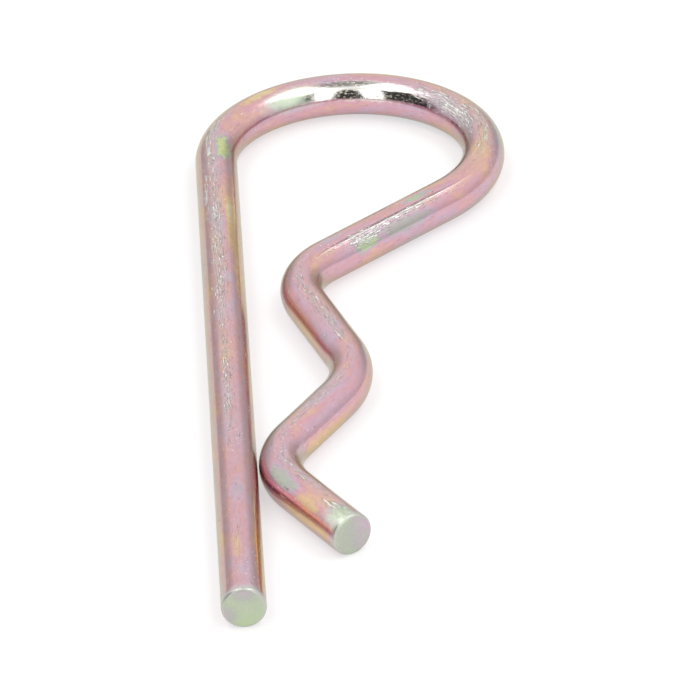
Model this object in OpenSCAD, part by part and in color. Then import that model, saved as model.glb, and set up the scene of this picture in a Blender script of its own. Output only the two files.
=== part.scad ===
// R-shaped spring clip, bent from one length of round wire.
// It lies flat: the wire's axis is a plane curve, and its underside rests on Z = 0.
// The straight leg runs along +Y. The wire then turns round the loop and comes back beside the
// leg as a wave: in at the throat, out round the shaft seat, in at the nip, and out at the tail.

/* [Wire] */
// Diameter of the spring wire
wire_d = 4; // [2.5:0.1:6]
// Radius that breaks the edge of both cut ends
end_round = 0.3; // [0.1:0.05:0.8]

/* [Straight leg] */
// Length of the straight leg, from its cut end to the start of the loop
leg_len = 79.4; // [62:0.5:110]

/* [Loop] */
// Inside radius of the loop
loop_r_in = 10.65; // [8:0.05:15]
// Straight run from the loop to the throat
loop_run = 15.5; // [8:0.1:22]

/* [Throat] */
// Gap between the leg and the bend at the throat
throat_gap = 3.1; // [1:0.1:4.5]
// Inside radius of that bend
throat_r_in = 5.4; // [3:0.1:9]
// Straight run from the throat to the seat
throat_run = 9.7; // [4:0.1:14]

/* [Shaft seat] */
// Diameter of the shaft that the seat is bent round
shaft_d = 16; // [12:0.5:20]
// Distance from the leg's axis to the inner side of the seat
seat_reach = 8.95; // [7:0.1:11]
// Straight run from the seat to the nip
seat_run = 7.9; // [4:0.1:12]

/* [Nip] */
// Running gap left where the nip rests against the leg
nip_gap = 0.05; // [0.02:0.01:0.5]
// Inside radius of the bend at the nip
nip_r_in = 6.2; // [3:0.1:9]

/* [Tail] */
// Length of the straight tail, from the nip's bend to its cut end
tail_len = 9.4; // [5:0.1:14]
// Angle between the tail and the leg
tail_flare = 30; // [15:1:45]

/* [Hidden] */
$fn = 96;

wire_r = wire_d / 2;
// Each straight run laps this far over the bends that it joins, and the wire is this much
// thinner in a bend, so that a bend's end lies wholly inside the run
lap = 0.3;
bend_thin = 0.02;

// Radii of the four bends, at the wire's axis
loop_r = loop_r_in + wire_r;
throat_r = throat_r_in + wire_r;
seat_r = shaft_d / 2 + wire_r;
nip_r = nip_r_in + wire_r;

// How far down the leg the next bend's centre lies: two bends that turn opposite ways and are
// joined by a straight run are sqrt(run^2 + (sum of radii)^2) apart, centre to centre
function drop(radii, run, across) = sqrt(radii * radii + run * run - across * across);

// Centres of the bends, with the leg's axis at X = 0 and its cut end at Y = 0
throat_x = wire_d + throat_gap + throat_r;
seat_x = seat_reach - shaft_d / 2;
nip_x = wire_d + nip_gap + nip_r;
throat_y = leg_len - drop(loop_r + throat_r, loop_run, throat_x - loop_r);
seat_y = throat_y - drop(throat_r + seat_r, throat_run, seat_x - throat_x);
nip_y = seat_y - drop(seat_r + nip_r, seat_run, nip_x - seat_x);
loop_c = [loop_r, leg_len];
throat_c = [throat_x, throat_y];
seat_c = [seat_x, seat_y];
nip_c = [nip_x, nip_y];

// Heading of the straight run between two bends; side is 1 after a clockwise bend and -1 after
// an anticlockwise one
function heading(a, b, radii, side) =
    atan2(b.y - a.y, b.x - a.x) - side * asin(radii / norm(b - a));
loop_out = heading(loop_c, throat_c, loop_r + throat_r, 1);
throat_out = heading(throat_c, seat_c, throat_r + seat_r, -1);
seat_out = heading(seat_c, nip_c, seat_r + nip_r, 1);
tail_out = tail_flare - 90;

// Point of the wire's axis on a bend, where the wire runs at the given heading
function on_bend(c, r, heading, side) = c + side * r * [-sin(heading), cos(heading)];

overall_len = leg_len + loop_r + wire_r;

// Straight length of wire from a point, at a heading in the clip's plane, lapped into the bends
// at both its ends
module run(from, heading, len) {
    translate(from) rotate([0, 0, heading]) rotate([0, 90, 0])
        translate([0, 0, -lap]) cylinder(h = len + 2 * lap, r = wire_r);
}

// Straight length of wire that ends in a cut face with a rounded edge, len away from the point
module cut_run(from, heading, len) {
    translate(from) rotate([0, 0, heading]) rotate([0, 90, 0]) rotate_extrude() {
        translate([0, -lap]) square([wire_r, len + lap - end_round]);
        square([wire_r - end_round, len]);
        translate([wire_r - end_round, len - end_round])
            intersection() {
                circle(r = end_round);
                square(end_round);
            }
    }
}

// Bent length of wire: its axis turns from one heading to another round the centre
module bend(c, r, from, to, side) {
    start = min(side * 90 + from, side * 90 + to);
    translate(c) rotate([0, 0, start]) rotate_extrude(angle = abs(to - from))
        translate([r, 0]) circle(r = wire_r - bend_thin);
}

module r_clip() {
    color([0.72, 0.62, 0.62])
        translate([-loop_r, -overall_len / 2, wire_r]) {
            cut_run([0, leg_len], -90, leg_len);
            bend(loop_c, loop_r, 90, loop_out, 1);
            run(on_bend(loop_c, loop_r, loop_out, 1), loop_out, loop_run);
            bend(throat_c, throat_r, loop_out, throat_out, -1);
            run(on_bend(throat_c, throat_r, throat_out, -1), throat_out, throat_run);
            bend(seat_c, seat_r, throat_out, seat_out, 1);
            run(on_bend(seat_c, seat_r, seat_out, 1), seat_out, seat_run);
            bend(nip_c, nip_r, seat_out, tail_out, -1);
            cut_run(on_bend(nip_c, nip_r, tail_out, -1), tail_out, tail_len);
        }
}

r_clip();
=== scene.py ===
"""An R-shaped spring clip bent from one length of zinc-plated wire, on a plain pale floor."""

import math

import bmesh
import bpy
from mathutils import Matrix, Vector


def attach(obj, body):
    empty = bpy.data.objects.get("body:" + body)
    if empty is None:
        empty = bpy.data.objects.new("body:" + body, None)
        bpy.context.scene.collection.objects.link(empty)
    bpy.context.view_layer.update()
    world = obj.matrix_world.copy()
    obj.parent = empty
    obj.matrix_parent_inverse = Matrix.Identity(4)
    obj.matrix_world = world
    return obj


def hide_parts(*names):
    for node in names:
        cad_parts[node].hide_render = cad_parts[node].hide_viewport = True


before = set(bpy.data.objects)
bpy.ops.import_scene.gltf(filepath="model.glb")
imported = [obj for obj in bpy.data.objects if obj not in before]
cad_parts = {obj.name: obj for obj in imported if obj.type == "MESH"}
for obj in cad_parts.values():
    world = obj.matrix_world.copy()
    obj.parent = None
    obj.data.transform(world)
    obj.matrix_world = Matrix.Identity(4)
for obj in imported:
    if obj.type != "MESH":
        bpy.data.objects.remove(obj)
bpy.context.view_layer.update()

bl_info = {
    "name": "R clip pin",
    "version": (1, 0, 0),
    "blender": (4, 5, 0),
    "location": "3D View > Sidebar > R clip",
    "description": "Bends an R clip from one round wire and gives it a worn chromate finish",
    "category": "Object",
}

MM = 0.001

# How finely the wire is drawn: faces round it, turn and distance between two rings, and rows
# of faces round the edge of a cut end and across its face
SIDES = 64
BEND_STEP = math.radians(3.0)
RUN_STEP = 1.2 * MM
EDGE_ROWS = 5
FACE_ROWS = 6

# Vertex attribute that holds a vertex's place on the straight wire, in millimetres: to the
# right of the wire's axis, above it, and along it from the leg's cut end
PLACE = "straight_wire"


def length(name, default, description):
    """A size, with its default in millimetres."""
    return bpy.props.FloatProperty(
        name=name,
        description=description,
        default=default * MM,
        min=0.0,
        unit="LENGTH",
        precision=5,
    )


def colour(name, default, description):
    """A colour without transparency."""
    return bpy.props.FloatVectorProperty(
        name=name,
        description=description,
        default=default,
        min=0.0,
        max=1.0,
        size=3,
        subtype="COLOR",
    )


def amount(name, default, description, most=10.0):
    """A plain number from nought to most."""
    return bpy.props.FloatProperty(
        name=name, description=description, default=default, min=0.0, max=most
    )


def angle(name, default, description):
    """An angle, with its default in degrees."""
    return bpy.props.FloatProperty(
        name=name,
        description=description,
        default=math.radians(default),
        subtype="ANGLE",
        unit="ROTATION",
    )


class RClipSizes(bpy.types.PropertyGroup):
    """Sizes that the wire is bent to"""

    wire_d: length("Wire", 4.0, "Diameter of the spring wire")
    skin: length("Skin", 0.025, "How far the shown surface lies inside the wire's true size")
    end_round: length("End round", 0.3, "Radius that breaks the edge of both cut ends")
    end_dish: length("End dish", 0.06, "Depth of the hollow that the shears leave in a cut end")
    leg_len: length("Leg", 79.4, "Length of the straight leg, up to the loop")
    loop_r_in: length("Loop radius", 10.65, "Inside radius of the loop")
    loop_run: length("Loop run", 15.5, "Straight run from the loop to the throat")
    throat_gap: length("Throat gap", 3.1, "Gap between the leg and the throat bend")
    throat_r_in: length("Throat radius", 5.4, "Inside radius of the throat bend")
    throat_run: length("Throat run", 9.7, "Straight run from the throat to the seat")
    shaft_d: length("Shaft", 16.0, "Diameter of the shaft that the seat is bent round")
    seat_reach: length("Seat reach", 8.95, "From the leg's axis to the inner side of the seat")
    seat_run: length("Seat run", 7.9, "Straight run from the seat to the nip")
    nip_gap: length("Nip gap", 0.05, "Running gap where the nip rests against the leg")
    nip_r_in: length("Nip radius", 6.2, "Inside radius of the nip bend")
    tail_len: length("Tail", 9.4, "Length of the straight tail")
    tail_flare: angle("Tail flare", 30.0, "Angle between the tail and the leg")


class RClipFinish(bpy.types.PropertyGroup):
    """Colours and wear of the plating"""

    bare: colour("Bare zinc", (0.82, 0.81, 0.78), "Zinc where the film is rubbed away")
    scraped: colour("Scraped", (0.97, 0.97, 0.95), "Bright floor of a fresh scratch")
    pale: colour("Pale", (0.74, 0.86, 0.68), "Film that is nearly rubbed away")
    straw: colour("Straw", (0.74, 0.66, 0.46), "Thinnest film")
    gold: colour("Gold", (0.74, 0.50, 0.30), "Thin film")
    pink: colour("Pink", (0.66, 0.375, 0.425), "Most of the film")
    lilac: colour("Lilac", (0.58, 0.42, 0.53), "Slightly thicker film")
    slate: colour("Slate", (0.46, 0.47, 0.43), "Thick film, grey-green")
    green: colour("Green", (0.50, 0.60, 0.38), "Thicker film")
    lime: colour("Lime", (0.66, 0.66, 0.30), "Thickest film, yellow-green")
    film: amount("Film", 0.472, "Usual thickness of the film, 1 being the thickest", 1.0)
    film_drift: amount("Film drift", 0.42, "How far the film's thickness drifts", 1.0)
    rim_film: amount("Rim film", 0.76, "Thickness of the film next to a cut end", 1.0)
    lines: amount("Draw lines", 0.2, "How much of the whole wire is scratched", 1.0)
    wear: amount("Wear", 0.85, "How much more is scratched where the wire is worn", 1.0)
    gloss_rough: amount("Film roughness", 0.2, "Roughness of the untouched film", 1.0)
    bare_rough: amount("Bare roughness", 0.09, "Roughness of the rubbed zinc", 1.0)
    end_rough: amount("End roughness", 0.42, "Roughness of the cut ends", 1.0)
    relief: length("Relief", 0.02, "Depth of the draw lines and scuffs")


class RClipStage(bpy.types.PropertyGroup):
    """Floor, light and camera"""

    floor: colour("Floor", (0.46, 0.46, 0.46), "Colour of the floor")
    glow: amount("Glow", 0.55, "Light that comes up through the pale floor")
    sky: amount("Sky", 1.06, "Brightness of the studio's walls and ceiling")
    horizon: amount("Horizon", 0.80, "Brightness of the walls low down")
    front: amount("Front", 0.045, "Brightness of the room behind the camera")
    bank: amount("Softbox", 1.9, "Brightness of the softboxes")
    azimuth: angle("Azimuth", -1.2365, "Turn of the camera about the clip")
    elevation: angle("Elevation", 30.078, "Height of the camera above the horizon")
    roll: angle("Roll", -2.6634, "Tilt of the camera about its line of sight")
    distance: length("Distance", 694.52, "From the camera to the point it looks at")
    lens: amount("Lens", 394.81, "Focal length in millimetres, on a 36 mm sensor", 1000.0)
    aim: bpy.props.FloatVectorProperty(
        name="Aim",
        description="Point that the camera looks at",
        default=(-0.001624, -0.003972, 0.002),
        size=3,
        subtype="TRANSLATION",
        unit="LENGTH",
    )


# --- the wire's course ------------------------------------------------------------------------


def ahead(heading):
    """Unit vector along a heading, in the clip's plane."""
    return Vector((math.cos(heading), math.sin(heading)))


def drop(radii, run, across):
    """How far two bends joined by a straight run lie apart along the leg."""
    return math.sqrt(radii * radii + run * run - across * across)


def heading_between(a, b, radii, side):
    """Heading of the run that leaves bend a and enters bend b, which turns the other way."""
    step = b - a
    return math.atan2(step.y, step.x) - side * math.asin(radii / step.length)


def course(s):
    """The wire's axis as a list of stretches, each a run or a bend, from the leg's cut end."""
    wire_r = s.wire_d / 2
    loop_r = s.loop_r_in + wire_r
    throat_r = s.throat_r_in + wire_r
    seat_r = s.shaft_d / 2 + wire_r
    nip_r = s.nip_r_in + wire_r
    loop = Vector((loop_r, s.leg_len))
    throat_x = s.wire_d + s.throat_gap + throat_r
    throat_y = loop.y - drop(loop_r + throat_r, s.loop_run, throat_x - loop.x)
    throat = Vector((throat_x, throat_y))
    seat_x = s.seat_reach + wire_r - seat_r
    seat = Vector((seat_x, throat.y - drop(throat_r + seat_r, s.throat_run, throat.x - seat_x)))
    nip_x = s.wire_d + s.nip_gap + nip_r
    nip = Vector((nip_x, seat.y - drop(seat_r + nip_r, s.seat_run, nip_x - seat.x)))

    up = math.pi / 2
    into_throat = heading_between(loop, throat, loop_r + throat_r, 1)
    into_seat = heading_between(throat, seat, throat_r + seat_r, -1)
    into_nip = heading_between(seat, nip, seat_r + nip_r, 1)
    into_tail = -up + s.tail_flare
    move = Vector((-loop_r, -(s.leg_len + loop_r + wire_r) / 2))
    plan = [
        ("run", up, s.leg_len),
        ("bend", up, into_throat, loop, loop_r),
        ("run", into_throat, s.loop_run),
        ("bend", into_throat, into_seat, throat, throat_r),
        ("run", into_seat, s.throat_run),
        ("bend", into_seat, into_nip, seat, seat_r),
        ("run", into_nip, s.seat_run),
        ("bend", into_nip, into_tail, nip, nip_r),
        ("run", into_tail, s.tail_len),
    ]
    stretches, at, done = [], move, 0.0
    for kind, heading, *rest in plan:
        part = dict(kind=kind, heading=heading, done=done)
        if kind == "run":
            size = rest[0]
            part.update(start=at, size=size)
            at = at + ahead(heading) * size
        else:
            leave, centre, radius = rest
            centre = centre + move
            turn = leave - heading
            size = abs(turn) * radius
            part.update(centre=centre, turn=turn, radius=radius, size=size)
            out = Vector((math.sin(leave), -math.cos(leave)))
            at = centre + out * radius * (1 if turn > 0 else -1)
        stretches.append(part)
        done += size
    return stretches


def unbent(point, stretches, wire_r):
    """Where a point of the bent wire lies on the straight wire: across, above, along."""
    nearest, found = math.inf, None
    flat = Vector((point.x, point.y))
    above = point.z - wire_r
    beyond_weight = 4  # a point beyond a stretch's end belongs to its neighbour
    for part in stretches:
        if part["kind"] == "run":
            on = ahead(part["heading"])
            gap = flat - part["start"]
            along = gap.dot(on)
            across = gap.x * on.y - gap.y * on.x
        else:
            side = 1 if part["turn"] > 0 else -1
            gap = flat - part["centre"]
            entry = part["heading"] - side * math.pi / 2
            turned = side * (math.atan2(gap.y, gap.x) - entry)
            turned = (turned + math.pi / 2) % (2 * math.pi) - math.pi / 2
            along = turned * part["radius"]
            across = side * (gap.length - part["radius"])
        before = 0.0 if part is stretches[0] else -along
        after = 0.0 if part is stretches[-1] else along - part["size"]
        beyond = max(before, after, 0.0)
        away = math.hypot(across, above, beyond_weight * beyond)
        if away < nearest:
            nearest = away
            found = Vector((across, above, part["done"] + along))
    return found


def only(kind, geometry):
    """The vertices, or the edges, among the things that an operator returns."""
    return [each for each in geometry if isinstance(each, kind)]


def sweep(bm, stretches, wire_r, shown_r):
    """Draws a ring of edges along the wire's course and returns the first and last rings."""
    start = stretches[0]["start"]
    upright = Matrix.Rotation(math.pi / 2, 4, "X")
    place = Matrix.Translation((*start, wire_r))
    made = bmesh.ops.create_circle(
        bm, cap_ends=False, segments=SIDES, radius=shown_r, matrix=place @ upright
    )
    first = list({edge for vert in made["verts"] for edge in vert.link_edges})
    ring = first
    for part in stretches:
        if part["kind"] == "run":
            steps = max(2, round(part["size"] / RUN_STEP))
            step = ahead(part["heading"]).to_3d() * (part["size"] / steps)
            for _ in range(steps):
                grown = bmesh.ops.extrude_edge_only(bm, edges=ring)["geom"]
                ring = only(bmesh.types.BMEdge, grown)
                bmesh.ops.translate(bm, verts=only(bmesh.types.BMVert, grown), vec=step)
        else:
            steps = max(4, round(abs(part["turn"]) / BEND_STEP))
            corners = list({vert for edge in ring for vert in edge.verts})
            turned = bmesh.ops.spin(
                bm,
                geom=corners + ring,
                cent=(part["centre"].x, part["centre"].y, wire_r),
                axis=(0, 0, 1),
                angle=part["turn"],
                steps=steps,
                use_merge=False,
                use_duplicate=False,
            )["geom_last"]
            ring = only(bmesh.types.BMEdge, turned)
    return first, ring


def finish_end(bm, ring, outward, s):
    """Caps an end of the wire, rounds its edge and hollows its face as shears leave it."""
    cap = bmesh.ops.contextual_create(bm, geom=ring)["faces"]
    shaded_rim = list(cap[0].edges)
    bmesh.ops.bevel(
        bm,
        geom=shaded_rim,
        offset=s.end_round,
        offset_type="OFFSET",
        segments=EDGE_ROWS,
        profile=0.5,
        affect="EDGES",
        material=-1,
        clamp_overlap=True,
    )
    face = max(
        (f for f in bm.faces if len(f.verts) == SIDES and abs(f.normal.dot(outward)) > 0.99),
        key=lambda f: f.calc_center_median().dot(outward),
    )
    middle = face.calc_center_median()
    reach = max((v.co - middle).length for v in face.verts)
    step = reach / (FACE_ROWS + 1)
    for row in range(FACE_ROWS):
        bmesh.ops.inset_region(bm, faces=[face], thickness=step, use_even_offset=True)
        left = 1 - (row + 1) / (FACE_ROWS + 1)
        depth = s.end_dish * (1 - left**2)
        for vert in face.verts:
            vert.co += outward * (-depth - (vert.co - middle).dot(outward))
    bmesh.ops.poke(bm, faces=[face])


def lay_flat(bm, layer, whole, shown_r):
    """Lays the surface out flat, in a square of side 1: four strips of skin, two cut faces."""
    flat = bm.loops.layers.uv.new("OFBake")
    gap, spare, strips = 0.4, 0.9, 4
    across, strip_len = 2 * math.pi * shown_r, whole / strips
    faces_apart = 3 * shown_r
    side = max(strips * (across + gap) + 2 * (shown_r + gap), strip_len + 2 * spare)
    for face in bm.faces:
        spots = [loop.vert[layer] for loop in face.loops]
        middle = sum(spots, Vector((0, 0, 0))) / len(spots)
        strip = min(int(max(middle.z, 0) / strip_len), strips - 1)
        way = math.atan2(middle.y, middle.x)
        from_seam = (way + math.pi / 2) % (2 * math.pi)
        for loop, spot in zip(face.loops, spots):
            if face.material_index:
                u = side - gap - shown_r + spot.x
                v = gap + shown_r + (0 if strip == 0 else faces_apart) + spot.y
            else:
                off = math.atan2(spot.y, spot.x) - way
                off = (off + math.pi) % (2 * math.pi) - math.pi
                u = gap + strip * (across + gap) + (from_seam + off) * shown_r
                v = spare + spot.z - strip * strip_len
            loop[flat].uv = (u / side, v / side)


def wire_mesh(s):
    """The clip's mesh, with each vertex's place on the straight wire, in millimetres."""
    wire_r = s.wire_d / 2
    shown_r = wire_r - s.skin
    stretches = course(s)
    bm = bmesh.new()
    first, last = sweep(bm, stretches, wire_r, shown_r)
    bmesh.ops.remove_doubles(bm, verts=bm.verts, dist=1e-7)
    tail_way = ahead(stretches[-1]["heading"]).to_3d()
    finish_end(bm, [edge for edge in first if edge.is_valid], Vector((0, -1, 0)), s)
    finish_end(bm, [edge for edge in last if edge.is_valid], tail_way, s)
    bmesh.ops.recalc_face_normals(bm, faces=bm.faces)
    whole = stretches[-1]["done"] + stretches[-1]["size"]
    layer = bm.verts.layers.float_vector.new(PLACE)
    for vert in bm.verts:
        vert[layer] = unbent(vert.co, stretches, wire_r) / MM
    cut_depth = 0.2
    cut_radius = (shown_r - 0.45 * s.end_round) / MM
    for face in bm.faces:
        face.smooth = True
        spots = [vert[layer] for vert in face.verts]
        low, high = min(spot.z for spot in spots), max(spot.z for spot in spots)
        in_from_end = min(low, whole / MM - high)
        out_from_axis = max(math.hypot(spot.x, spot.y) for spot in spots)
        face.material_index = int(in_from_end < cut_depth and out_from_axis < cut_radius)
    lay_flat(bm, layer, whole / MM, shown_r / MM)
    mesh = bpy.data.meshes.new("r_clip_wire")
    bm.to_mesh(mesh)
    bm.free()
    return mesh


# --- where the wire is stained and worn, and where shade and reflections are painted on it ----

# What each number of a spot on the wire says: how far along the wire it is (mm), where round it
# (degrees, from the right side over the top), its length and width either way (mm), and how
# ragged and how soft its edge is
SPOT = ("Along", "Round", "Length", "Width", "Ragged", "Soft")

# Where the loop's crown is rubbed to bright zinc, where the film is washed pale, and a groove
# that the drawing die left, with painted shade along one side of its lip
BRIGHT_SPOT = (101.6, 38.0, 7.1, 1.05, 0.3, 0.3)
WASHED_SPOT = (93.6, 42, 4.4, 1.15, 0.35, 0.8)
WASHED_TIP = (197.4, 58, 1.7, 1.3, 0.4, 0.8)
GROOVE = (137.5, 118, 9.5, 0.09, 0.1, 0.5)
GROOVE_SHADE = (138, 112.5, 9, 0.13, 0.1, 0.5)

# Stains in the film, with three rows of painted reflection among them: a spot, then the film's
# thickness there and how fully it shows
FILM_STAINS_AND_REFLECTIONS = [
    # painted reflection: gold film where the throat faces the leg and the two reflect each
    # other
    (158.0, 16, 5.5, 0.9, 0.4, 0.8, 0.27, 0.75),
    (140.0, 140, 5.5, 0.9, 0.4, 0.8, 0.61, 0.75),
    (6.5, 97, 2.2, 0.6, 0.5, 0.7, 0.20, 0.6),
    (16.5, 88, 2.2, 0.7, 0.6, 0.8, 0.72, 0.6),
    (24.5, 70, 6.0, 0.8, 0.5, 0.8, 0.56, 0.6),
    (54.5, 72, 1.2, 0.6, 0.6, 0.8, 0.66, 0.8),
    (64.5, 60, 6.0, 0.5, 0.5, 0.7, 0.26, 0.85),
    (67.5, 62, 2.6, 0.45, 0.6, 0.7, 0.13, 0.85),
    (79.5, 68, 2.5, 0.7, 0.9, 0.5, 0.97, 0.95),
    (90.5, 92, 2.4, 0.5, 0.7, 0.5, 0.16, 0.8),
    (93, 36, 3.2, 0.9, 0.5, 0.5, 0.80, 0.7),
    (84.5, 40, 5.0, 0.8, 0.4, 0.8, 0.40, 0.7),
    (121.5, 92, 6.0, 0.9, 0.5, 0.9, 0.28, 0.5),
    (118.5, 140, 5.0, 0.8, 0.5, 0.8, 0.74, 0.5),
    (136.5, 152, 4.0, 0.8, 0.6, 0.6, 0.70, 0.9),
    (141.5, 152, 1.5, 0.7, 0.8, 0.6, 0.88, 0.9),
    (133.5, 92, 2.0, 0.45, 0.7, 0.6, 0.92, 0.85),
    (131.5, 75, 4.0, 0.8, 0.5, 0.8, 0.30, 0.4),
    (148.5, 120, 4.0, 0.7, 0.6, 0.8, 0.28, 0.6),
    (158.5, 60, 5.0, 0.8, 0.5, 0.8, 0.56, 0.6),
    (166.5, 132, 3.0, 0.6, 0.6, 0.8, 0.68, 0.5),
    (176.5, 142, 5.0, 0.8, 0.4, 0.8, 0.58, 0.8),
    (177.5, 185, 5.0, 0.9, 0.5, 0.8, 0.26, 0.8),
    (189, 52, 2.6, 0.9, 0.6, 0.6, 0.74, 0.9),
    (193.5, 40, 2.0, 0.6, 0.7, 0.5, 0.24, 0.9),
    (197, 75, 1.2, 1.2, 0.5, 0.6, 0.86, 0.8),
    (11.5, 265, 7.0, 1.4, 0.6, 0.7, 0.74, 0.7),
    # painted reflection and painted shade: gold film on the leg's side that faces the nip and
    # tail
    (9, 36, 9.5, 0.7, 0.4, 0.7, 0.27, 0.85),
    (62, 44, 12.0, 0.45, 0.5, 0.7, 0.26, 0.7),
    # painted reflection: gold film on the tail's side that faces the leg
    (193.5, 5, 6.0, 0.8, 0.4, 0.7, 0.25, 0.85),
    (113, 50, 5.5, 1.0, 0.6, 0.7, 0.68, 0.55),
    (46.5, 250, 9.0, 1.2, 0.6, 0.7, 0.24, 0.7),
    (110.5, 280, 8.0, 1.2, 0.6, 0.7, 0.80, 0.6),
    (150.5, 270, 7.0, 1.2, 0.6, 0.7, 0.22, 0.7),
]

# Where handling and the drawing die wore the wire most: a spot, then how much it is worn
WORN_BANDS = [
    (8, 95, 8, 0.4, 0.4, 0.8, 0.3),
    (36, 99, 12, 0.6, 0.5, 0.8, 0.75),
    (60, 100, 22, 0.8, 0.5, 0.8, 0.88),
    (70, 124, 7, 0.3, 0.5, 0.8, 0.9),
    (80.5, 108, 7, 0.6, 0.5, 0.8, 0.9),
    (112, 60, 8, 1.2, 0.5, 0.7, 1.0),
    (117, 95, 8, 0.9, 0.5, 0.8, 0.8),
    (137.5, 122, 9, 0.6, 0.5, 0.8, 0.9),
    (141.5, 128, 3, 0.9, 0.5, 0.6, 1.1),
    (158.5, 85, 9, 0.7, 0.5, 0.8, 0.8),
    (176.5, 90, 9, 0.6, 0.5, 0.8, 0.65),
    (190.5, 95, 7, 0.6, 0.5, 0.8, 0.7),
    (196.3, 80, 2.2, 1.1, 0.4, 0.8, 0.9),
]

# Stains on the cut faces, from their rims: end of the wire (0 leg, 1 tail), where round it
# (degrees), how far in they reach (mm), the film's thickness there and how fully it shows, and
# then a spot's length, raggedness and softness, which they share
END_STAINS = [
    (0, 300, 3.3, 0.81, 0.9),
    (0, 150, 1.7, 0.79, 0.75),
    (0, 200, 1.2, 0.63, 0.8),
    (0, 90, 1.2, 0.63, 0.9),
    (0, 270, 1.0, 0.86, 0.6),
    (1, 10, 2.4, 0.80, 0.65),
    (1, 285, 1.3, 0.78, 0.6),
    (1, 70, 0.8, 0.84, 0.6),
]
END_STAIN_LENGTH = 3.0
END_STAIN_RAGGED = 0.25
END_STAIN_SOFT = 0.8

# Draw lines and finer hairs: scale of the noise, and how far it is drawn out along the wire
LINES = (7.6, 0.1)
HAIRS = (10.5, 0.06)


# --- node helpers -----------------------------------------------------------------------------


class Tree:
    """Adds nodes to a node tree and joins them, so that a finish reads as a list of steps."""

    def __init__(self, tree):
        self.tree = tree

    def add(self, kind, inputs=None, output=0, **settings):
        """A new node with its settings and inputs; returns one output, or the node for None."""
        node = self.tree.nodes.new(kind)
        for name, value in settings.items():
            setattr(node, name, value)
        for key, value in (inputs or {}).items():
            if isinstance(value, bpy.types.NodeSocket):
                self.tree.links.new(value, node.inputs[key])
            else:
                node.inputs[key].default_value = value
        return node if output is None else node.outputs[output]

    def calc(self, kind, a, b, clamp=False):
        """One sum on two numbers."""
        return self.add("ShaderNodeMath", {0: a, 1: b}, operation=kind, use_clamp=clamp)

    def plus(self, a, b):
        return self.calc("ADD", a, b)

    def minus(self, a, b):
        return self.calc("SUBTRACT", a, b)

    def times(self, a, b):
        return self.calc("MULTIPLY", a, b)

    def most(self, a, b):
        return self.calc("MAXIMUM", a, b)

    def vec(self, kind, a, b):
        """One sum on two vectors."""
        return self.add("ShaderNodeVectorMath", {0: a, 1: b}, operation=kind)

    def along(self, place, share):
        """Shrinks a place along the wire, so that a noise there is drawn out lengthways."""
        return self.vec("MULTIPLY", place, (1.0, 1.0, share))

    def rise(self, value, low, high, to_low=0.0, to_high=1.0):
        """Goes smoothly from to_low to to_high as value goes from low to high."""
        return self.add(
            "ShaderNodeMapRange",
            {0: value, 1: low, 2: high, 3: to_low, 4: to_high},
            interpolation_type="SMOOTHSTEP",
        )

    def blend(self, share, a, b):
        """A share of number b in number a."""
        return self.add("ShaderNodeMix", {0: share, 2: a, 3: b}, data_type="FLOAT")

    def tint(self, share, a, b, kind="MIX"):
        """A share of colour b in colour a."""
        a = a if isinstance(a, bpy.types.NodeSocket) else (*a, 1.0)
        b = b if isinstance(b, bpy.types.NodeSocket) else (*b, 1.0)
        return self.add(
            "ShaderNodeMix", {0: share, 6: a, 7: b}, output=2, data_type="RGBA", blend_type=kind
        )

    def noise(self, place, scale, detail=3.0, rough=0.5, twist=0.0):
        """Cloudy values round 0.5, finer with a greater scale."""
        return self.add(
            "ShaderNodeTexNoise",
            {
                "Vector": place,
                "Scale": scale,
                "Detail": detail,
                "Roughness": rough,
                "Distortion": twist,
            },
        )

    def group(self, tree, inputs, output=0):
        """A copy of a node group."""
        return self.add("ShaderNodeGroup", inputs, output, node_tree=tree)

    def bump(self, height, strength, depth):
        """The normal of a surface that rises by height times depth, in metres."""
        inputs = {"Strength": strength, "Distance": depth, "Height": height}
        return self.add("ShaderNodeBump", inputs)

    def grey(self, value):
        """The grey that is as bright as value."""
        return self.add("ShaderNodeCombineColor", {0: value, 1: value, 2: value})


def new_group(name, inputs, outputs):
    """A node group with float sockets, or vector or colour ones where the name says so."""
    kinds = {"Place": "NodeSocketVector", "Colour": "NodeSocketColor"}
    tree = bpy.data.node_groups.new(name, "ShaderNodeTree")
    for socket, default in inputs.items():
        made = tree.interface.new_socket(
            name=socket, in_out="INPUT", socket_type=kinds.get(socket, "NodeSocketFloat")
        )
        if default is not None:
            made.default_value = default
    for socket in outputs:
        tree.interface.new_socket(
            name=socket, in_out="OUTPUT", socket_type=kinds.get(socket, "NodeSocketFloat")
        )
    inside = tree.nodes.new("NodeGroupInput")
    outside = tree.nodes.new("NodeGroupOutput")
    return tree, Tree(tree), inside.outputs, outside.inputs


def film_group(f):
    """Interference colours of the chromate film, from bare zinc to the thickest film."""
    tree, t, given, out = new_group("Chromate film", {"Thickness": 0.5}, ["Colour"])
    ramp = t.add("ShaderNodeValToRGB", {0: given["Thickness"]}, output=None)
    steps = [
        (0.0, f.bare),
        (0.14, f.straw),
        (0.28, f.gold),
        (0.44, f.pink),
        (0.58, f.lilac),
        (0.70, f.slate),
        (0.84, f.green),
        (1.0, f.lime),
    ]
    band = ramp.color_ramp
    while len(band.elements) < len(steps):
        band.elements.new(0.5)
    for element, (where, shade) in zip(band.elements, steps):
        element.position = where
        element.color = (*shade, 1.0)
    tree.links.new(ramp.outputs[0], out["Colour"])
    return tree


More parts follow.
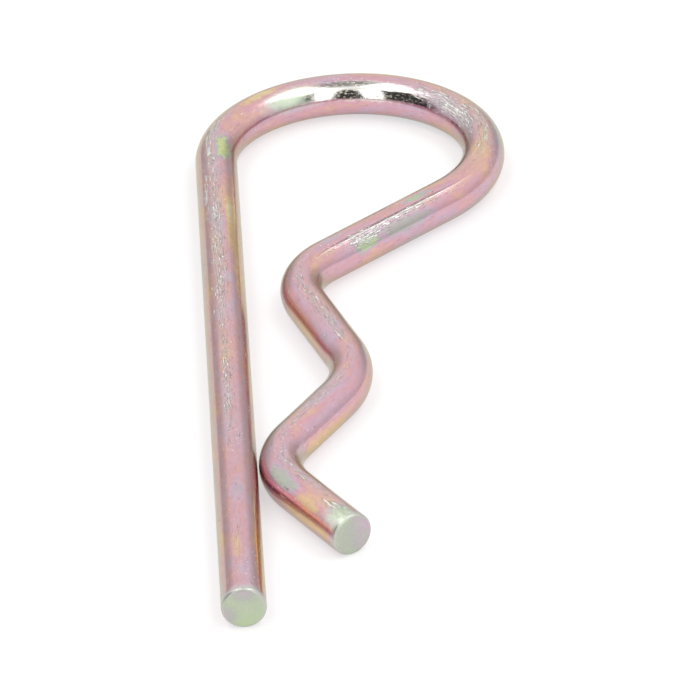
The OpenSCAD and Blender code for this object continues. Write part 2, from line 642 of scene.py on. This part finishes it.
def mottle_group():
    """Uneven thickness of the film, in long soft drifts with finer clouding over them."""
    tree, t, given, out = new_group(
        "Film drift", {"Place": None, "Middle": 0.46, "Spread": 0.2}, ["Thickness"]
    )
    drift = t.noise(t.along(given["Place"], 0.28), 0.42, 2.0, 0.5, 0.6)
    cloud = t.noise(t.along(given["Place"], 0.3), 1.7, 3.0, 0.55, 0.4)
    both = t.plus(t.times(drift, 1.3), t.times(cloud, 0.7))
    shift = t.times(t.minus(both, 1.0), given["Spread"])
    tree.links.new(t.plus(given["Middle"], shift), out["Thickness"])
    return tree


def spot_mask_group(shown_r):
    """A ragged patch at one place on the wire: along it, and round it from its right side."""
    tree, t, given, out = new_group(
        "Spot mask",
        {"Place": None, **dict(zip(SPOT, (0.0, 0.0, 4.0, 1.0, 0.5, 0.4)))},
        ["Mask"],
    )
    centre = t.add("ShaderNodeCombineXYZ", {"Z": given["Along"]})
    moved = t.vec("SUBTRACT", given["Place"], centre)
    back = t.times(given["Round"], -math.pi / 180)
    turned = t.add(
        "ShaderNodeVectorRotate", {"Vector": moved, "Angle": back}, rotation_type="Z_AXIS"
    )
    local = t.vec("SUBTRACT", turned, (shown_r / MM, 0, 0))
    size = t.add(
        "ShaderNodeCombineXYZ",
        {"X": given["Width"], "Y": given["Width"], "Z": given["Length"]},
    )
    away = t.add(
        "ShaderNodeVectorMath", {0: t.vec("DIVIDE", local, size)}, output=1, operation="LENGTH"
    )
    rag = t.minus(t.noise(given["Place"], 1.6, 4.0, 0.65), 0.5)
    away = t.plus(away, t.times(rag, t.times(given["Ragged"], 2.5)))
    inner = t.minus(1.0, given["Soft"])
    outer = t.plus(1.0, t.times(given["Soft"], 0.5))
    tree.links.new(t.rise(away, inner, outer, 1.0, 0.0), out["Mask"])
    return tree


def scratch_group():
    """Scraped flecks drawn out along the wire: bare metal, the rim beside it, which takes
    painted shade in the colour, and its depth.
    """
    tree, t, given, out = new_group(
        "Draw lines",
        {"Place": None, "Cover": 0.4, "Scale": 3.0, "Draw": 0.25},
        ["Mask", "Rim", "Height"],
    )
    pull = t.add("ShaderNodeCombineXYZ", {"X": 1.0, "Y": 1.0, "Z": given["Draw"]})
    drawn = t.vec("MULTIPLY", given["Place"], pull)
    flecks = t.noise(drawn, given["Scale"], 5.0, 0.68, 0.5)
    edge = t.minus(0.72, t.times(given["Cover"], 0.19))
    past = t.minus(flecks, edge)
    mask = t.rise(past, 0.0, 0.025)
    near = t.rise(past, -0.05, -0.005)
    shaded_rim = t.calc("SUBTRACT", near, mask, clamp=True)
    tree.links.new(mask, out["Mask"])
    tree.links.new(shaded_rim, out["Rim"])
    tree.links.new(t.minus(mask, t.times(shaded_rim, 0.6)), out["Height"])
    return tree


def wire_place(t):
    """Where the shaded point lies on the straight wire, and how far along it."""
    place = t.add(
        "ShaderNodeAttribute", output=1, attribute_name=PLACE, attribute_type="GEOMETRY"
    )
    split = t.add("ShaderNodeSeparateXYZ", {0: place}, output=None)
    return place, split.outputs[2]


def spot_at(t, groups, place, spot):
    """How far inside a spot on the wire the shaded point is, from 0 to 1."""
    return t.group(groups["spot_mask"], {"Place": place, **dict(zip(SPOT, spot))})


def spot_thickness(t, thickness, mask, target, share):
    """The film's thickness, brought towards a spot's own inside the spot."""
    return t.blend(t.times(mask, share), thickness, target)


def film_thickness(t, f, place, from_end, groups):
    """Thickness of the film on the wire, with its stains, gold painted reflection on the sides
    that face the leg, and its thicker rims.
    """
    drift = {"Place": place, "Middle": f.film, "Spread": f.film_drift}
    thickness = t.group(groups["drift"], drift)
    for *spot, target, share in FILM_STAINS_AND_REFLECTIONS:
        mask = spot_at(t, groups, place, spot)
        thickness = spot_thickness(t, thickness, mask, target, share)
    return t.blend(t.rise(from_end, 0.15, 1.1, 0.8, 0.0), thickness, f.rim_film)


def scratches(t, f, place, groups):
    """Draw lines and finer hairs, closest where the wire is worn, and how worn it is."""
    wear = 0.0
    for *spot, share in WORN_BANDS:
        wear = t.most(wear, t.times(spot_at(t, groups, place, spot), share))
    cover = t.plus(f.lines, t.times(wear, f.wear))
    made = []
    for share, (scale, draw) in ((1.0, LINES), (0.9, HAIRS)):
        covered = t.times(cover, share)
        inputs = {"Place": place, "Cover": covered, "Scale": scale, "Draw": draw}
        made.append(t.group(groups["lines"], inputs, output=None).outputs)
    return *made, wear


def new_material(name):
    """A material with an empty tree, its helper and its joined-up shader."""
    material = bpy.data.materials.new(name)
    material.use_nodes = True
    tree = material.node_tree
    tree.nodes.clear()
    t = Tree(tree)
    shader = tree.nodes.new("ShaderNodeBsdfPrincipled")
    output = tree.nodes.new("ShaderNodeOutputMaterial")
    tree.links.new(shader.outputs[0], output.inputs[0])
    return material, t, shader


def set_metal(shader):
    """Zinc under a thin clear coat."""
    shader.inputs["Metallic"].default_value = 1.0
    shader.inputs["Specular Tint"].default_value = (0.64, 0.74, 0.54, 1.0)
    shader.inputs["Coat Weight"].default_value = 0.35
    shader.inputs["Coat Roughness"].default_value = 0.12
    shader.inputs["Coat IOR"].default_value = 1.5


def wire_material(f, groups):
    """Worn chromate over drawn wire, rubbed bright on the inner side of the loop's crown."""
    material, t, shader = new_material("chromated_wire")
    links = t.tree.links
    place, along = wire_place(t)
    from_end = t.calc("MINIMUM", along, t.minus(groups["whole"], along))
    thickness = film_thickness(t, f, place, from_end, groups)
    film = t.group(groups["film"], {"Thickness": thickness})

    # masks: what is scratched, and the rims beside the scratches and the groove, which take
    # painted shade
    lines, hair, wear = scratches(t, f, place, groups)
    speck_noise = t.noise(t.along(place, 0.6), 8.0, 1.0)
    speckled = t.rise(t.noise(t.along(place, 0.4), 0.35, 1.0), 0.4, 0.6)
    specks = t.times(t.rise(speck_noise, 0.715, 0.745), speckled)
    groove = spot_at(t, groups, place, GROOVE)
    # painted shade along one side of the groove's lip
    groove_shade = spot_at(t, groups, place, GROOVE_SHADE)
    scratched = t.most(t.most(lines["Mask"], hair["Mask"]), specks)
    scratched = t.most(scratched, t.times(groove, 0.9))
    shaded_rim = t.most(lines["Rim"], t.times(hair["Rim"], 0.6))
    shaded_rim = t.most(shaded_rim, t.times(groove_shade, 1.8))

    # masks: where the film is rubbed away or washed thin
    bright = spot_at(t, groups, place, BRIGHT_SPOT)
    tip = spot_at(t, groups, place, WASHED_TIP)
    washed = t.most(spot_at(t, groups, place, WASHED_SPOT), t.times(tip, 0.8))
    fleck_noise = t.noise(t.along(place, 0.35), 6.0, 4.0, 0.75)
    flecks = t.rise(fleck_noise, 0.53, 0.64)
    rubbed = t.tint(t.times(flecks, 0.8), f.bare, f.straw)

    # colour
    shade = t.rise(t.noise(t.along(place, 0.5), 2.2, 4.0, 0.6), 0.3, 0.7, 0.96, 1.03)
    # painted shade: the colour is darker along the rims beside the scratches and on one side of
    # the groove
    shade = t.times(shade, t.minus(1.0, t.times(shaded_rim, 0.36)))
    film = t.tint(1.0, film, t.grey(shade), "MULTIPLY")
    film = t.tint(t.times(wear, 0.22), film, f.bare)
    film = t.tint(t.rise(from_end, 0.2, 1.3, 0.22, 0.0), film, f.bare)
    base = t.tint(t.times(scratched, 0.95), film, f.scraped)
    base = t.tint(t.times(washed, 0.8), base, f.pale)
    links.new(t.tint(bright, base, rubbed), shader.inputs["Base Color"])

    # roughness
    smudge = t.noise(t.along(place, 0.3), 1.1, 3.0, 0.6)
    rough = t.rise(smudge, 0.3, 0.75, f.gloss_rough * 0.8, f.gloss_rough * 1.4)
    rough = t.blend(t.times(scratched, 0.8), rough, 0.24)
    rough = t.blend(bright, rough, t.plus(f.bare_rough, t.times(flecks, 0.4)))
    rough = t.plus(rough, t.rise(from_end, 0.0, 0.9, 0.25, 0.0))
    links.new(rough, shader.inputs["Roughness"])

    # relief
    grain = t.noise(t.along(place, 0.08), 9.0, 3.0, 0.6)
    height = t.plus(lines["Height"], t.times(grain, 0.08))
    height = t.plus(height, t.times(hair["Height"], 0.4))
    height = t.minus(height, t.times(groove, 1.5))
    height = t.blend(bright, height, t.times(fleck_noise, 0.3))
    links.new(t.bump(height, 1.0, f.relief), shader.inputs["Normal"])
    set_metal(shader)
    return material


def end_material(f, groups):
    """Dull, thickly chromated faces that the shears left at both ends."""
    material, t, shader = new_material("chromated_cut_end")
    links = t.tree.links
    place, along = wire_place(t)
    usual = t.rise(along, 50.0, 150.0, 0.73, 0.645)
    thickness = t.group(groups["drift"], {"Place": place, "Middle": usual, "Spread": 0.2})
    for end, way, reach, target, share in END_STAINS:
        at = end * groups["whole"]
        spot = (at, way, END_STAIN_LENGTH, reach, END_STAIN_RAGGED, END_STAIN_SOFT)
        mask = spot_at(t, groups, place, spot)
        thickness = spot_thickness(t, thickness, mask, target, share)
    film = t.group(groups["film"], {"Thickness": thickness})
    pits = t.noise(place, 5.0, 4.0, 0.6)
    base = t.tint(t.rise(pits, 0.45, 0.75, 0.0, 0.25), film, f.bare)
    links.new(base, shader.inputs["Base Color"])
    rough = t.rise(pits, 0.3, 0.7, f.end_rough, f.end_rough * 1.3)
    links.new(rough, shader.inputs["Roughness"])
    shear = t.noise(t.vec("MULTIPLY", place, (1.0, 0.25, 1.0)), 5.0, 3.0, 0.6)
    height = t.plus(t.times(pits, 0.6), shear)
    links.new(t.bump(height, 0.7, f.relief), shader.inputs["Normal"])
    set_metal(shader)
    return material


def floor_material(shade, glow):
    """Plain pale paper, lit a little from below."""
    material, t, shader = new_material("studio_floor")
    place = t.add("ShaderNodeTexCoord", output=3)
    tone = t.rise(t.noise(place, 3.0, 2.0), 0.3, 0.7, 0.985, 1.0)
    base = t.tint(1.0, tuple(shade), t.grey(tone), "MULTIPLY")
    t.tree.links.new(base, shader.inputs["Base Color"])
    shader.inputs["Roughness"].default_value = 0.9
    shader.inputs["Specular IOR Level"].default_value = 0.1
    shader.inputs["Emission Color"].default_value = (1.0, 1.0, 1.0, 1.0)
    shader.inputs["Emission Strength"].default_value = glow
    return material


# --- stage ------------------------------------------------------------------------------------


def facing(azimuth, elevation):
    """Unit vector from the clip towards a place round it; azimuth 0 is the front."""
    return Vector(
        (
            math.sin(azimuth) * math.cos(elevation),
            -math.cos(azimuth) * math.cos(elevation),
            math.sin(elevation),
        )
    )


# Round patches of the room: azimuth and elevation of the middle (degrees), the cosines of the
# angles at which the soft edge begins and ends, and what it comes to inside
DARK_SIDES = ((-57, 18, 0.74, 0.84, 1.0), (-2, 25, 0.70, 0.80, 1.0))
DARK_CEILING = (0, 88, 0.93, 0.98, 0.72)
WALL_PATCHES = (
    (-150, 6, 0.94, 0.985, 0.8),
    (150, 6, 0.94, 0.985, 0.8),
    (180, 6, 0.93, 0.985, 1.25),
)

# Half the floor's side (m)
FLOOR_HALF = 4.0

# Softboxes: name, azimuth and elevation (degrees), width and height (m)
SOFTBOXES = (
    ("right_strip", 23, 27, 0.33, 1.35),
    ("left_strip", -28, 24, 0.35, 1.15),
    ("left_top", -85, 66, 0.8, 0.42),
    ("right_top", 85, 66, 0.8, 0.36),
)


def room_patch(t, look, patch, outside):
    """A value that goes softly from one outside a patch of the room to another inside it."""
    azimuth, elevation, begins, ends, inside = patch
    middle = facing(math.radians(azimuth), math.radians(elevation))
    near = t.add(
        "ShaderNodeVectorMath", {0: look, 1: middle}, output=1, operation="DOT_PRODUCT"
    )
    return t.rise(near, begins, ends, outside, inside)


def make_world(g):
    """Bright walls and ceiling, dimmer low down, and a dark room behind the camera."""
    world = bpy.data.worlds.new("studio_room")
    world.use_nodes = True
    tree = world.node_tree
    tree.nodes.clear()
    t = Tree(tree)
    look = t.add("ShaderNodeTexCoord")
    above = t.add("ShaderNodeSeparateXYZ", {0: look}, output=None).outputs[2]
    walls = t.rise(above, 0.10, 0.48, g.horizon, g.sky)
    low = t.rise(above, 0.72, 0.86, 1.0, 0.0)
    dark = room_patch(t, look, DARK_CEILING, 0.0)
    for patch in DARK_SIDES:
        dark = t.most(dark, t.times(room_patch(t, look, patch, 0.0), low))
    for patch in WALL_PATCHES:
        walls = t.times(walls, room_patch(t, look, patch, 1.0))
    light = t.blend(dark, walls, g.front)
    background = t.add("ShaderNodeBackground", {0: (1.0, 0.985, 0.97, 1.0), 1: light})
    output = tree.nodes.new("ShaderNodeOutputWorld")
    tree.links.new(background, output.inputs[0])
    bpy.context.scene.world = world


def softbox(name, azimuth, elevation, width, height, brightness):
    """A plain rectangular light, one metre from the clip and facing it."""
    lamp = bpy.data.lights.new(name, "AREA")
    lamp.shape = "RECTANGLE"
    lamp.size = width
    lamp.size_y = height
    lamp.energy = brightness * math.pi * width * height
    box = bpy.data.objects.new(name, lamp)
    back = facing(math.radians(azimuth), math.radians(elevation))
    box.location = back
    box.rotation_euler = back.to_track_quat("Z", "Y").to_euler()
    box.visible_camera = False
    bpy.context.collection.objects.link(box)


def make_camera(g):
    """A long lens that looks down at the clip from its cut ends."""
    camera = bpy.data.cameras.new("camera")
    camera.sensor_width = 36.0
    camera.lens = g.lens
    camera.clip_start = 0.01
    camera.clip_end = 20.0
    holder = bpy.data.objects.new("camera", camera)
    back = facing(g.azimuth, g.elevation)
    right = Vector((math.cos(g.azimuth), math.sin(g.azimuth), 0))
    above = right.cross(-back)
    level = right * math.cos(g.roll) + above * math.sin(g.roll)
    above = above * math.cos(g.roll) - right * math.sin(g.roll)
    turn = Matrix((level, above, back)).transposed().to_4x4()
    holder.matrix_world = Matrix.Translation(Vector(g.aim) + back * g.distance) @ turn
    bpy.context.collection.objects.link(holder)
    bpy.context.scene.camera = holder


# --- operators, panel and registration --------------------------------------------------------


class RCLIP_OT_wire(bpy.types.Operator):
    """Bend the clip from one length of wire and give it its plating"""

    bl_idname = "r_clip.wire"
    bl_label = "Bend wire"

    def execute(self, context):
        sizes, finish = context.scene.r_clip_sizes, context.scene.r_clip_finish
        piece = bpy.data.objects.new("r_clip_wire", wire_mesh(sizes))
        context.collection.objects.link(piece)
        if len(piece.data.polygons) < SIDES:
            raise RuntimeError("The wire has no surface")
        shown_r = sizes.wire_d / 2 - sizes.skin
        last = course(sizes)[-1]
        groups = {
            "whole": (last["done"] + last["size"]) / MM,
            "film": film_group(finish),
            "drift": mottle_group(),
            "spot_mask": spot_mask_group(shown_r),
            "lines": scratch_group(),
        }
        piece.data.materials.append(wire_material(finish, groups))
        piece.data.materials.append(end_material(finish, groups))
        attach(piece, "root")
        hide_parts("r_clip")
        return {"FINISHED"}


class RCLIP_OT_stage(bpy.types.Operator):
    """Lay the floor, hang the softboxes and set up the camera"""

    bl_idname = "r_clip.stage"
    bl_label = "Set stage"

    def execute(self, context):
        g = context.scene.r_clip_stage
        bm = bmesh.new()
        bmesh.ops.create_grid(bm, x_segments=4, y_segments=4, size=FLOOR_HALF)
        mesh = bpy.data.meshes.new("floor")
        bm.to_mesh(mesh)
        bm.free()
        floor = bpy.data.objects.new("floor", mesh)
        mesh.materials.append(floor_material(g.floor, g.glow))
        context.collection.objects.link(floor)
        make_world(g)
        for row in SOFTBOXES:
            softbox(*row, g.bank)
        make_camera(g)
        context.scene.view_settings.view_transform = "Standard"
        return {"FINISHED"}


class RCLIP_PT_panel(bpy.types.Panel):
    """Lists the clip's sizes, finish and stage"""

    bl_idname = "RCLIP_PT_panel"
    bl_label = "R clip pin"
    bl_space_type = "VIEW_3D"
    bl_region_type = "UI"
    bl_category = "R clip"

    def draw(self, context):
        column = self.layout.column()
        for owner in (context.scene.r_clip_sizes, context.scene.r_clip_finish):
            for name in owner.__annotations__:
                column.prop(owner, name)
        column.operator(RCLIP_OT_wire.bl_idname)
        for name in context.scene.r_clip_stage.__annotations__:
            column.prop(context.scene.r_clip_stage, name)
        column.operator(RCLIP_OT_stage.bl_idname)


CLASSES = (
    RClipSizes,
    RClipFinish,
    RClipStage,
    RCLIP_OT_wire,
    RCLIP_OT_stage,
    RCLIP_PT_panel,
)


def register():
    for each in CLASSES:
        bpy.utils.register_class(each)
    bpy.types.Scene.r_clip_sizes = bpy.props.PointerProperty(type=RClipSizes)
    bpy.types.Scene.r_clip_finish = bpy.props.PointerProperty(type=RClipFinish)
    bpy.types.Scene.r_clip_stage = bpy.props.PointerProperty(type=RClipStage)


def unregister():
    del bpy.types.Scene.r_clip_stage
    del bpy.types.Scene.r_clip_finish
    del bpy.types.Scene.r_clip_sizes
    for each in reversed(CLASSES):
        bpy.utils.unregister_class(each)


def main():
    register()
    bpy.ops.r_clip.wire()
    bpy.ops.r_clip.stage()
    bpy.context.view_layer.update()


if __name__ == "__main__":
    main()
